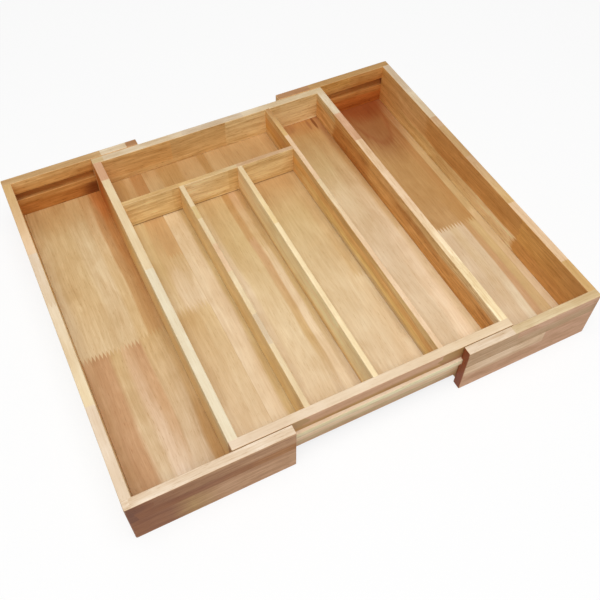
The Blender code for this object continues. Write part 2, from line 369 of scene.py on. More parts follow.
@dataclass(frozen=True)
class Grain:
    """Noise drawn out along the grain.

    It has so many features for each millimetre across and along the grain, and lightens and
    darkens the wood by its shade.
    """

    across: float
    along: float
    shade: float

    STAVE_STEP: ClassVar[float] = 7.0

    def noise(self, graph: Graph, place: tuple[Value, Value, Value], stave: Operand) -> Value:
        """Add the noise, which starts anew in each stave.

        Args:
            graph: The graph to add to.
            place: The place across the grain, through the thickness and along the grain.
            stave: A number that differs from stave to stave.

        Returns:
            The noise.
        """
        across, depth, along = place
        side = across * self.across + stave * self.STAVE_STEP
        return graph.noise(graph.vector(side, depth * self.across, along * self.along + stave))


@dataclass(frozen=True)
class LaminatedWood:
    """Lacquered wood glued up from staves, with its grain along one axis of the tray.

    The lamellas lie side by side across the grain. Their edges, and the ends of their staves, are
    in millimetres of the tray's own frame, from low to high. A board that wanders has ragged
    changes of tone in place of finger joints. Blushes lie on a floor, and the face is its height.
    """

    node: str
    lay: Lay
    start: float
    lamellas: tuple[Lamella, ...]
    # Tones of the upward faces at the top, mostly paler than the sides: painted light
    rim: tuple[Stave, ...] = ()
    rim_level: float = 60.0
    face: float = 29.0
    blushes: tuple[Blush, ...] = ()
    wander: float = 0.0
    figure: float = 0.7
    # Strength of a painted shadow line along a divider's foot
    foot: float = 0.0
    end_tone: Tone = CLAY
    end_share: float = 0.35
    seed: float = 0.0

    # Noise, from the broadest to the finest
    CLOUD: ClassVar[Grain] = Grain(0.035, 0.022, 0.30)
    BROAD: ClassVar[Grain] = Grain(0.12, 0.008, 0.36)
    STREAK: ClassVar[Grain] = Grain(0.45, 0.020, 0.36)
    PORE: ClassVar[Grain] = Grain(1.05, 0.13, 0.16)
    FIBRE: ClassVar[Grain] = Grain(1.40, 0.070, 0.30)
    PORE_EDGE: ClassVar[Span] = (0.60, 0.72)
    DRIFT_SCALE: ClassVar[Span] = (0.009, 0.02)
    DRIFT: ClassVar[float] = 9.0

    # Growth rings, with the turns that the cloud and the place across give them
    RING_TURNS: ClassVar[Span] = (7.0, 0.07)
    RING_SHADE: ClassVar[float] = 0.06

    # Light of the wood, and how much faster its green and its blue darken than its red
    BASE_LIGHT: ClassVar[float] = 1.02
    LEAST_LIGHT: ClassVar[float] = 0.4
    RIM_CALM: ClassVar[float] = 0.45
    GREEN_POWER: ClassVar[float] = 1.5
    BLUE_POWER: ClassVar[float] = 2.2

    # Joints, with a shift that keeps the places of the fingers above zero
    FINGER_LENGTH: ClassVar[float] = 9.0
    HALF_PITCH: ClassVar[float] = 2.0
    FINGER_SHIFT: ClassVar[float] = 360.0
    WANDER_SCALE: ClassVar[Span] = (0.10, 0.03)
    JOINT_STEP: ClassVar[float] = 0.0005
    STAVE_STEP: ClassVar[float] = 2.3
    LAMELLA_STEP: ClassVar[float] = 1.7
    GLUE_LINE: ClassVar[float] = 0.2
    GLUE_EDGE: ClassVar[Span] = (0.6, 0.1)
    GLUE_SHADE: ClassVar[float] = 0.10

    # Faces, ends, arrises (painted shade with some stain below the rim, a painted highlight on it)
    # and the painted shadow line at a divider's foot
    UPWARD: ClassVar[Span] = (0.45, 0.85)
    END_FACE: ClassVar[Span] = (0.7, 0.95)
    ARRIS_STAIN_SHADE_AND_HIGHLIGHT: ClassVar[Triple] = (0.55, 0.35, 0.2)
    FOOT_LEVEL: ClassVar[float] = 29.0
    FOOT_SHADOW_EDGE: ClassVar[Span] = (1.5, 0.7)

    # Lacquer
    SPECULAR: ClassVar[float] = 0.25
    ROUGHNESS: ClassVar[Triple] = (0.44, 0.12, 0.10)
    RELIEF: ClassVar[Triple] = (0.5, 0.3, 0.6)
    RELIEF_STRENGTH: ClassVar[float] = 0.35
    RELIEF_HEIGHT: ClassVar[float] = 0.0003

    def material(self) -> bpy.types.Material:
        """Build the material.

        Returns:
            The wood as a material.
        """
        made = bpy.data.materials.new(self.node + "_wood")
        made.use_nodes = True
        graph = Graph(made.node_tree)
        shader = made.node_tree.nodes["Principled BSDF"]
        coordinates = graph.add("ShaderNodeTexCoord", output="Object")
        scale = {"operation": "SCALE"}
        place = graph.add("ShaderNodeVectorMath", scale, {0: coordinates, "Scale": MM_PER_METRE})
        parts = graph.split(place)
        grain_axis, cross_axis, finger_axis = (axis.value for axis in self.lay.value)
        along = parts[grain_axis]
        across = parts[cross_axis]
        depth = parts[sum(axis.value for axis in Axis) - grain_axis - cross_axis]
        height = parts[Axis.Z.value]

        facing = graph.split(coordinates.output("Normal"))
        above = height > self.rim_level
        upward = graph.ramp(facing[Axis.Z.value], *self.UPWARD) * above
        slow, quick = self.DRIFT_SCALE
        drift = graph.noise(graph.vector(along * slow, across * quick, self.seed), 1.0) - 0.5
        bent = across + drift * self.DRIFT
        tone, stave, glue = self._staves(graph, along, across, bent, parts[finger_axis])
        # Painted light: upward faces at the top take their own rim tones, mostly paler than the
        # sides of the same lamellas, as if lit from above while the sides stand in shade
        if self.rim:
            tone = graph.mix(upward, tone, self._row(graph, along, self.rim))

        spot = (bent, depth, along)
        broad = self.BROAD.noise(graph, spot, stave)
        streak = self.STREAK.noise(graph, spot, stave)
        fibre = self.FIBRE.noise(graph, spot, stave)
        pore = graph.ramp(self.PORE.noise(graph, spot, stave), *self.PORE_EDGE)
        cloud = self.CLOUD.noise(graph, (across, depth, along), stave)
        cloud_turns, bent_turns = self.RING_TURNS
        ring = graph.math("PINGPONG", cloud * cloud_turns + bent * bent_turns, 1.0)
        calm = 1.0 - self.RIM_CALM * upward

        light = (broad - 0.5) * self.BROAD.shade + (streak - 0.5) * self.STREAK.shade
        light = light + (fibre - 0.5) * self.FIBRE.shade
        light = light + (ring - 0.5) * self.RING_SHADE - pore * self.PORE.shade
        light = self.BASE_LIGHT + light * calm * self.figure
        light = light + (cloud - 0.5) * self.CLOUD.shade - glue * self.GLUE_SHADE
        light = light.most(self.LEAST_LIGHT)
        tint = graph.vector(light, light**self.GREEN_POWER, light**self.BLUE_POWER)
        colour = tone
        for blush in self.blushes:
            colour = blush.lay(graph, colour, parts, self.face, streak)
        colour = graph.mix(1.0, colour, tint, "MULTIPLY")

        end = graph.ramp(abs(facing[grain_axis]), *self.END_FACE)
        colour = graph.mix(end * self.end_share, colour, self.end_tone.linear())
        # Arrises: below the rim they darken, painted shade in crevices with some stain at the
        # corners; on the rim they turn paler, a painted highlight
        arris = graph.add("ShaderNodeAttribute", {"attribute_name": ARRIS}, output="Fac")
        arris_stain_shade_and_highlight = graph.mix(above, SIENNA.linear(), PEACH.linear())
        arris_share, paler, rough = self.ARRIS_STAIN_SHADE_AND_HIGHLIGHT
        colour = graph.mix(arris * (arris_share - above * paler + rough * fibre), colour, arris_stain_shade_and_highlight)
        # Painted shadow: a dark line where a divider stands on the floor
        if self.foot:
            foot_shadow = graph.ramp(height - self.FOOT_LEVEL, *self.FOOT_SHADOW_EDGE) * self.foot
            colour = graph.mix(foot_shadow, colour, UMBER.linear())
        graph.feed(shader.inputs["Base Color"], colour)

        shader.inputs["Specular IOR Level"].default_value = self.SPECULAR
        smooth, by_fibre, by_pore = self.ROUGHNESS
        roughness = smooth + fibre * by_fibre + pore * by_pore
        graph.feed(shader.inputs["Roughness"], roughness)
        fibres, streaks, pores = self.RELIEF
        relief = {
            "Strength": self.RELIEF_STRENGTH,
            "Distance": self.RELIEF_HEIGHT,
            "Height": fibre * fibres + streak * streaks - pore * pores,
        }
        graph.feed(shader.inputs["Normal"], graph.add("ShaderNodeBump", inputs=relief))
        made.diffuse_color = self.lamellas[0].staves[0].tone.linear()
        return made

    def _staves(
        self, graph: Graph, along: Value, across: Value, bent: Value, finger: Value
    ) -> tuple[Value, Operand, Operand]:
        """The tone of the stave that each place lies in.

        Args:
            graph: The graph to add to.
            along: The place along the grain.
            across: The place across the grain.
            bent: The same, wandering a little as soft bands in the wood do.
            finger: The place along the row of fingers of a joint.

        Returns:
            The tone as a colour, a number that differs from stave to stave, and where the glue
            lines are.
        """
        if self.wander:
            quick, slow = self.WANDER_SCALE
            wave = graph.noise(graph.vector(across * quick, along * slow, self.seed))
            ragged = along + (wave - 0.5) * self.wander
        else:
            tooth = graph.math("PINGPONG", finger + self.FINGER_SHIFT, self.HALF_PITCH)
            ragged = along + (tooth / self.HALF_PITCH - 0.5) * self.FINGER_LENGTH
        first = self.lamellas[0]
        tone = self._row(graph, ragged, first.staves)
        number = self._number(ragged, first.staves, self.seed)
        glue: Operand = 0.0
        for place, (before, lamella) in enumerate(zip(self.lamellas, self.lamellas[1:]), 1):
            row = self._row(graph, ragged, lamella.staves)
            edge = before.edge
            if before.soft:
                passed = graph.ramp(bent, edge - before.soft, edge + before.soft)
            else:
                passed = graph.ramp(across, edge - self.GLUE_LINE, edge + self.GLUE_LINE)
                glue = glue + graph.ramp(abs(across - edge), *self.GLUE_EDGE)
                start = self.seed + place * self.LAMELLA_STEP
                other = self._number(ragged, lamella.staves, start)
                number = number + (across > edge) * (other - number)
            tone = graph.mix(passed, tone, row)
        return tone, number, glue

    def _number(self, along: Value, staves: tuple[Stave, ...], start: float) -> Operand:
        """A number that steps up at each joint of a row.

        Args:
            along: The place along the grain.
            staves: The staves of the row.
            start: The number of the first stave.

        Returns:
            The number.
        """
        number: Operand = start
        for stave, following in zip(staves, staves[1:]):
            if stave.last is not following.tone:
                number = number + (along > stave.end) * self.STAVE_STEP
        return number

    def _row(self, graph: Graph, along: Value, staves: tuple[Stave, ...]) -> Value:
        """The tones of a row of staves.

        Args:
            graph: The graph to add to.
            along: The place along the grain.
            staves: The staves of the row.

        Returns:
            The tone as a colour.
        """
        length = staves[-1].end - self.start
        stops = []
        position = 0.0
        for stave in staves:
            stops.append((position, stave.tone.linear()))
            position = (stave.end - self.start) / length
            stops.append((position - self.JOINT_STEP, stave.last.linear()))
        share = (along - self.start) / length
        return graph.add("ShaderNodeValToRGB", {"stops": stops}, {0: share})


@dataclass(frozen=True)
class Groove:
    """A stopped groove for a rail in the inner face of a board, in Y from its mouth to its root."""

    x: Span
    y: Span
    z: Span
    chamfer: float = 0.0006


@dataclass(frozen=True)
class Board:
    """A board of the tray between two corners, with the node that it stands for.

    Its radii are those of the edges at its top and at its foot.
    """

    node: str
    body: str
    slot: str
    x: Span
    y: Span
    z: Span
    radii: Span = (0.0009, 0.0009)
    corner_radius: float = 0.0009
    round_corner: tuple[int, int] = (0, 0)
    groove: Optional[Groove] = None


def corners(*spans: Span) -> tuple[tuple[float, ...], tuple[float, ...]]:
    """The lowest and the highest corner of a box, from its spans along X, Y and Z."""
    return tuple(map(min, spans)), tuple(map(max, spans))


class BoardRule:
    """The Geometry Nodes rule that every board of the tray is made by.

    It bends a grid over a box, so that the edges of the board roll over in even steps and one
    upright corner may be rounder than the rest. A groove is then cut where a board has one.
    """

    STEPS = 6
    SUPPORT = 0.0004
    OVERRUN = 0.002
    SHARP_ANGLE = math.radians(30)

    # Lengths that stand in for zero
    LEAST_REACH = 1e-9
    LEAST_BEND = 1e-8
    LEAST_RADIUS = 1e-6

    # What a board gives to the rule, by the kind of its sockets
    SOCKETS = {
        "Vector": ("Low", "High", "Corner Side", "Groove Low", "Groove High"),
        "Float": (
            "Top Radius", "Foot Radius", "Upright Radius", "Corner Radius", "Groove Facing",
            "Groove Chamfer",
        ),
        "Bool": ("Grooved",),
        "Material": ("Wood",),
    }

    def __init__(self) -> None:
        """Build the tree once for all boards."""
        self.tree = bpy.data.node_groups.new("eased_board", "GeometryNodeTree")
        self.tree.is_modifier = True
        self.keys: dict[str, str] = {}
        for kind, names in self.SOCKETS.items():
            for name in names:
                item = self.tree.interface.new_socket(
                    name=name, in_out="INPUT", socket_type="NodeSocket" + kind
                )
                self.keys[name] = item.identifier
        self.tree.interface.new_socket(
            name="Board", in_out="OUTPUT", socket_type="NodeSocketGeometry"
        )
        self.graph = Graph(self.tree)
        self.inlet = self.graph.add("NodeGroupInput")
        board = self._shaded(self._grooved(self._eased_box()))
        inputs = {"Geometry": board, "Material": self.inlet.output("Wood")}
        board = self.graph.add("GeometryNodeSetMaterial", inputs=inputs)
        board = self.graph.add("GeometryNodeRealizeInstances", inputs={0: board})
        outlet = self.tree.nodes.new("NodeGroupOutput")
        self.graph.feed(outlet.inputs[0], board)

    def _box_frame(self, low: str, high: str) -> tuple[list[Value], list[Value]]:
        """The middle and the half size of a box between two corner inputs.

        Args:
            low: The input of the lowest corner.
            high: The input of the highest corner.

        Returns:
            The middles and the half sizes, by axis.
        """
        lows = self.graph.split(self.inlet.output(low))
        highs = self.graph.split(self.inlet.output(high))
        middles = [(first + second) * 0.5 for first, second in zip(lows, highs)]
        halves = [(second - first) * 0.5 for first, second in zip(lows, highs)]
        return middles, halves

    def _unit_cube(self, *counts: int) -> Value:
        """A cube of unit size with this many vertices along each axis."""
        inputs = dict(zip(("Vertices X", "Vertices Y", "Vertices Z"), counts))
        return self.graph.add("GeometryNodeMeshCube", inputs=inputs)

    def _eased_box(self) -> Value:
        """Bend a grid over the box, with its edges rounded.

        Returns:
            The eased box, with how far each vertex lies on an arris stored on it.
        """
        graph = self.graph
        count = 2 * self.STEPS + 4
        cube = self._unit_cube(count, count, count)
        grid = graph.split(graph.add("GeometryNodeInputPosition"))
        signs = [part.sign() for part in grid]
        middles, halves = self._box_frame("Low", "High")

        corner = graph.split(self.inlet.output("Corner Side"))
        rounder = (signs[0] * corner[0] > 0.5) * (signs[1] * corner[1] > 0.5)
        plain = self.inlet.output("Upright Radius")
        upright = plain + rounder * (self.inlet.output("Corner Radius") - plain)
        foot = self.inlet.output("Foot Radius")
        rim = foot + (signs[2] > 0) * (self.inlet.output("Top Radius") - foot)

        distances = []
        for part, half, radius in zip(grid, halves, (upright, upright, rim)):
            # The line at 0.5 supports the flat, the bend begins at 1.5 and ends after the steps
            place = abs(part) * (count - 1)
            step = (place - 1.5).most(0.0)
            rise = graph.math("TANGENT", step * (math.pi / 4 / self.STEPS))
            inside = (place < 1.0) * self.SUPPORT
            distances.append(half - radius + radius * rise - inside)

        over = [
            (distance - (half - upright)).most(0.0)
            for distance, half in zip(distances[:2], halves[:2])
        ]
        span = (over[0] * over[0] + over[1] * over[1]).root().most(self.LEAST_REACH)
        reach = over[0].most(over[1])
        rise = (distances[2] - (halves[2] - rim)).most(0.0)
        outward = (reach - (upright - rim)).most(0.0)
        diagonal = (outward * outward + rise * rise).root().most(self.LEAST_REACH)
        bend = outward.most(rise) / diagonal
        bend = bend + (outward.most(rise) < self.LEAST_BEND) * (1.0 - bend)
        pulled = reach - outward + outward * bend
        places = [
            distance - part + part / span * pulled for distance, part in zip(distances[:2], over)
        ]
        places.append(distances[2] - rise + rise * bend)
        final = [middle + sign * place for middle, sign, place in zip(middles, signs, places)]
        on_edge = outward.least(rise) / rim.most(self.LEAST_RADIUS)
        on_corner = over[0].least(over[1]) / upright.most(self.LEAST_RADIUS)
        inputs = {"Geometry": cube, "Name": ARRIS, "Value": on_edge.most(on_corner)}
        settings = {"data_type": "FLOAT", "domain": "POINT"}
        cube = graph.add("GeometryNodeStoreNamedAttribute", settings, inputs)
        inputs = {"Geometry": cube, "Position": graph.vector(*final)}
        return graph.add("GeometryNodeSetPosition", inputs=inputs)

    def _grooved(self, board: Value) -> Value:
        """Cut the groove, where the board has one.

        Args:
            board: The eased box.

        Returns:
            The box with its groove.
        """
        graph = self.graph
        cube = self._unit_cube(2, 3, 2)
        grid = graph.split(graph.add("GeometryNodeInputPosition"))
        middles, halves = self._box_frame("Groove Low", "Groove High")
        facing = self.inlet.output("Groove Facing")
        chamfer = self.inlet.output("Groove Chamfer")

        # The tool has three levels: beyond the board's face, just under it and at the root
        level = grid[1] * facing
        outside = level < -0.25
        root = level > 0.25
        mouth = middles[1] - facing * halves[1]
        flare = outside * (chamfer + self.OVERRUN)
        depth = (chamfer - flare) * (1.0 - root) + root * (halves[1] * 2.0)
        x = middles[0] + grid[0] * 2.0 * halves[0]
        z = middles[2] + grid[2].sign() * (halves[2] + flare)
        place = graph.vector(x, mouth + facing * depth, z)
        tool = graph.add("GeometryNodeSetPosition", inputs={"Geometry": cube, "Position": place})
        settings = {"operation": "DIFFERENCE", "solver": "EXACT"}
        cut = graph.add("GeometryNodeMeshBoolean", settings, {"Mesh 1": board, "Mesh 2": tool})
        inputs = {"Switch": self.inlet.output("Grooved"), "False": board, "True": cut}
        return graph.add("GeometryNodeSwitch", {"input_type": "GEOMETRY"}, inputs)

    def _shaded(self, board: Value) -> Value:
        """Shade the board smooth, apart from its sharp edges.

        Args:
            board: The board with its groove.

        Returns:
            The shaded board.
        """
        graph = self.graph
        smooth = {"Geometry": board, "Shade Smooth": True}
        board = graph.add("GeometryNodeSetShadeSmooth", {"domain": "FACE"}, smooth)
        angle = graph.add("GeometryNodeInputMeshEdgeAngle", output="Unsigned Angle")
        sharp = {"Geometry": board, "Selection": angle > self.SHARP_ANGLE, "Shade Smooth": False}
        return graph.add("GeometryNodeSetShadeSmooth", {"domain": "EDGE"}, sharp)

    def make(self, board: Board) -> None:
        """Make one board as a plain mesh at the origin, in place of its node.

        Args:
            board: The board.
        """
        name = board.node + "_dressed"
        shaped = bpy.data.objects.new(name, bpy.data.meshes.new(name + "_seed"))
        bpy.context.scene.collection.objects.link(shaped)
        modifier = shaped.modifiers.new("eased board", "NODES")
        modifier.node_group = self.tree
        for label, value in self._values(board).items():
            modifier[self.keys[label]] = value
        bpy.context.view_layer.update()
        graph = bpy.context.evaluated_depsgraph_get()
        mesh = bpy.data.meshes.new_from_object(
            shaped.evaluated_get(graph), preserve_all_data_layers=True, depsgraph=graph
        )
        mesh.name = name
        shaped.modifiers.clear()
        shaped.data = mesh
        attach(shaped, board.body)
        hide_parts(board.node)
        LOG.info("%s: %d faces on %s", name, len(mesh.polygons), board.body)

    @staticmethod
    def _values(board: Board) -> dict[str, Any]:
        """What a board gives to the rule.

        Args:
            board: The board.

        Returns:
            The values by the names of their sockets.
        """
        low, high = corners(board.x, board.y, board.z)
        top, foot = board.radii
        values: dict[str, Any] = {
            "Low": low,
            "High": high,
            "Top Radius": top,
            "Foot Radius": foot,
            "Upright Radius": max(board.radii),
            "Corner Radius": board.corner_radius,
            "Corner Side": (*map(float, board.round_corner), 0.0),
            "Wood": WOODS[board.node].material(),
        }
        groove = board.groove
        if groove:
            mouth, root = groove.y
            values["Grooved"] = True
            values["Groove Facing"] = math.copysign(1.0, root - mouth)
            values["Groove Chamfer"] = groove.chamfer
            values["Groove Low"], values["Groove High"] = corners(groove.x, groove.y, groove.z)
        return values


@dataclass(frozen=True)
class Stock:
    """Sizes that the centre tray and the wings share."""

    depth: float = 0.440
    rim: float = 0.066
    wall: float = 0.010
    clearance: float = 0.0005
    center_half_length: float = 0.154
    center_foot: float = 0.0140
    rail: Span = (0.0385, 0.0470)
    joint: float = 0.0012
    inset_radii: Span = (0.0008, 0.0008)
    divider_radii: Span = (0.0010, 0.0008)
    batten_radii: Span = (0.0010, 0.0003)

    @property
    def outer_y(self) -> float:
        """The outside of the wings' front and back boards."""
        return self.depth / 2

    @property
    def board_y(self) -> float:
        """The inside of the wings' front and back boards."""
        return self.outer_y - self.wall

    @property
    def center_y(self) -> float:
        """The outside of the centre tray's front and back walls."""
        return self.board_y - self.clearance

    @property
    def inner_y(self) -> float:
        """The inside of the centre tray's front and back walls."""
        return self.center_y - self.wall

    @property
    def inner_x(self) -> float:
        """The inside of the centre tray's side walls."""
        return self.center_half_length - self.wall


def staves(*parts: tuple[Any, ...]) -> tuple[Stave, ...]:
    """Staves from their ends and tones."""
    return tuple(Stave(*part) for part in parts)


def lamella(edge: float, *parts: tuple[Any, ...], soft: float = 0.0) -> Lamella:
    """A lamella from its far edge and the ends and tones of its staves."""
    return Lamella(edge, staves(*parts), soft)


def wood(node: str, lay: Lay, start: float, *lamellas: Lamella, **more: Any) -> LaminatedWood:
    """The wood of a board from its lamellas, from low to high, and what else sets it apart."""
    return LaminatedWood(node, lay, start, lamellas, **more)


# Painted light: faces that stand in shade, such as the inner face of the back wall and the faces of
# walls and dividers turned to the left, get brighter, more saturated tones than the wood has
WALLS_AND_DIVIDERS = (
    wood(
        "center_back_wall", Lay.ALONG_X, -154,
        lamella(36, (13, BUTTER), (76, GOLD), (154, APRICOT), soft=3),
        lamella(66, (-60, AMBER), (13, BUTTER), (154, APRICOT)),
        rim=staves((-140, WHEAT), (-40, LINEN), (40, SHELL), (154, LINEN, SAND)),
        figure=1.4, seed=2,
    ),
    # Painted light and shade around the rail: pale behind and just under the rail, darker just
    # above it and towards the foot
    wood(
        "center_front_wall", Lay.ALONG_X, -154,
        lamella(20, (154, FAWN), soft=2),
        lamella(24.5, (154, WHEAT), soft=2),
        lamella(30, (154, PEACH), soft=2),
        lamella(44, (154, PALE), soft=2),
        lamella(53, (-70, TOFFEE), (70, TOFFEE), (154, CLAY), soft=3),
        lamella(66, (-80, OCHRE), (70, ROSE), (154, TOFFEE)),
        rim=staves((154, IVORY, STARCH)),
        wander=30, seed=3,
    ),
    # Painted light and shade: the outer face is palest at the front and darkens towards the back,
    # through AMBER and RUST to CHESTNUT
    wood(
        "center_left_wall", Lay.ALONG_Y, -210,
        lamella(
            54, (50, APRICOT), (80, APRICOT, MAIZE), (115, MAIZE, AMBER), (165, AMBER, RUST),
            (190, RUST, CHESTNUT), (210, CHESTNUT), soft=4,
        ),
        lamella(
            66, (-20, MILK), (70, MILK, APRICOT), (125, APRICOT, AMBER), (165, AMBER, RUST),
            (210, RUST),
        ),
        rim=staves((20, CHALK), (168, CREAM), (210, ROSE)),
        seed=4,
    ),
    wood(
        "center_right_wall", Lay.ALONG_Y, -210,
        lamella(
            55, (55, HONEY), (75, HONEY, RUST), (150, RUST), (158, RUST, AMBER), (210, AMBER),
            soft=3,
        ),
        lamella(
            66, (-90, PALE, GOLD), (-50, GOLD, BUTTER), (55, BUTTER, HONEY), (152, HONEY),
            (160, HONEY, STRAW), (210, STRAW),
        ),
        rim=staves((-140, PALE), (-20, PALE, PEACH), (100, PEACH), (154, ROSE), (210, LINEN)),
        wander=40, figure=1.9, seed=5,
    ),
    wood(
        "long_divider", Lay.ALONG_Y, -200,
        lamella(36, (20, WHEAT), (126, STRAW, AMBER), (200, BUTTER), soft=3),
        lamella(45, (30, MAIZE), (126, MAIZE, BUTTER), (200, COPPER), soft=2),
        lamella(56, (60, AMBER), (126, AMBER, COPPER), (200, HONEY), soft=2),
        lamella(66, (-60, APRICOT, BUTTER), (126, BUTTER, HUSK), (200, COPPER, BUTTER)),
        rim=staves((-50, PEACH), (60, PEACH, CREAM), (144, PEACH), (200, BUTTER, CINNAMON)),
        figure=1.3, foot=0.5, seed=6,
    ),
    wood(
        "cross_divider", Lay.ALONG_X, -144,
        lamella(35, (-90, STRAW), (-76, STRAW, HUSK), (76, GOLD), soft=3),
        lamella(
            66, (-90, APRICOT), (-76, GOLD, BUTTER), (-20, PALE, APRICOT), (-3, GOLD, BUTTER),
            (50, APRICOT), (76, APRICOT, BUTTER),
        ),
        rim=staves((-76, HUSK), (-3, BUTTER, WHEAT), (76, FAWN)),
        figure=1.7, foot=0.85, seed=7,
    ),
    wood(
        "short_divider_left", Lay.ALONG_Y, -200,
        lamella(66, (60, APRICOT), (130, APRICOT, GOLD)),
        rim=staves(
            (-122, CREAM), (-82, LINEN), (-20, CREAM), (22, PEACH), (64, CREAM), (84, STRAW),
            (130, CREAM),
        ),
        foot=0.35, seed=8,
    ),
    # Painted shade: the lower band is darker than the upper, where the divider meets the floor
    wood(
        "short_divider_right", Lay.ALONG_Y, -200,
        lamella(35, (20, GOLD), (130, GOLD, STRAW), soft=3),
        lamella(66, (20, MILK), (130, MILK, PALE)),
        rim=staves((20, PALE), (130, APRICOT, CREAM)),
        foot=0.35, seed=9,
    ),
)

RAILS_AND_BATTENS = (
    # Painted light and shade: the rail's face takes the palest tone, with a darker band along its
    # lower edge
    wood(
        "front_slide_rail", Lay.ALONG_X, -154,
        lamella(40.5, (154, STARCH), soft=1),
        lamella(66, (154, MILK)),
        rim=staves((154, IVORY)),
        rim_level=46, seed=10,
    ),
    wood(
        "back_slide_rail", Lay.ALONG_X, -154,
        lamella(66, (154, CREAM)),
        seed=11,
    ),
    wood(
        "left_wing_stop_batten", Lay.FLAT, -200,
        lamella(0, (30, FAWN), (200, WHEAT)),
        seed=12,
    ),
    wood(
        "right_wing_stop_batten", Lay.FLAT, -200,
        lamella(270, (-40, WHEAT), (200, FAWN)),
        seed=13,
    ),
)

CENTER_FLOOR = (
    # Many staves pass from paler tones at the front to darker ones towards the back wall: a painted
    # gradient of light and shade
    wood(
        "center_floor", Lay.FLAT, -200,
        lamella(
            -126, (-26, LINEN, ALMOND), (-14, ALMOND, SAND), (40, SAND, OAT), (123, OAT),
            (200, TOFFEE), soft=3,
        ),
        lamella(
            -117, (-26, LINEN, ALMOND), (-14, ALMOND, LINEN), (50, LINEN, ALMOND),
            (123, ALMOND, OCHRE), (200, TOFFEE, OCHRE), soft=2,
        ),
        lamella(
            -101.5, (-26, LINEN, WHEAT), (-14, WHEAT, LINEN), (57, LINEN, ALMOND), (123, OCHRE),
            (200, CINNAMON),
        ),
        lamella(-82, (-20, LINEN), (123, LINEN, SAND), (200, ALMOND, OCHRE), soft=3),
        lamella(-70, (123, OAT), (200, TOFFEE)),
        lamella(-54, (-10, LINEN), (123, LINEN, OAT), (200, TOFFEE), soft=3),
        lamella(
            -27.5, (-60, LINEN, SAND), (40, SAND, OAT), (123, OAT, ALMOND), (200, OCHRE), soft=1.5,
        ),
        lamella(
            -18.5, (-110, SHELL, ALMOND), (40, ALMOND, FAWN), (123, OCHRE, TOFFEE), (200, TOFFEE),
            soft=1.5,
        ),
        lamella(-9.5, (-20, LINEN), (40, LINEN, WHEAT), (123, WHEAT, FAWN), (200, OCHRE), soft=2),
        lamella(3, (-60, SHELL, OAT), (60, OAT, ALMOND), (123, ALMOND, OCHRE), (200, OCHRE)),
        lamella(58, (-60, LINEN, SAND), (50, SAND, OAT), (123, OAT, OCHRE), (200, OCHRE), soft=3),
        lamella(73, (-60, LINEN, SAND), (123, WHEAT, ALMOND), (200, OCHRE)),
        lamella(
            118, (-40, LINEN), (50, LINEN, SAND), (110, SAND, OAT), (175, OAT, TOFFEE),
            (200, TOFFEE, COCOA), soft=4,
        ),
        lamella(
            136, (-20, STARCH, LINEN), (110, LINEN, ALMOND), (170, ALMOND, TOFFEE),
            (200, TOFFEE, COCOA), soft=4,
        ),
        lamella(150, (-20, SAND), (110, WHEAT, TOFFEE), (200, TOFFEE, BARK)),
        blushes=(
            Blush(36, 118, 40, 46, OCHRE, 0.5),
            Blush(-118, 6, 10, 40, LINEN, 0.4),
            Blush(116, 188, 44, 17, CINNAMON, 0.6),
            Blush(99, 191, 12, 11, BARK, 0.45),
            Blush(127, 188, 2.6, 12, BARK, 0.7),
            Blush(135, 189, 2.4, 15, UMBER, 0.9),
        ),
        figure=0.55, seed=1,
    ),
)

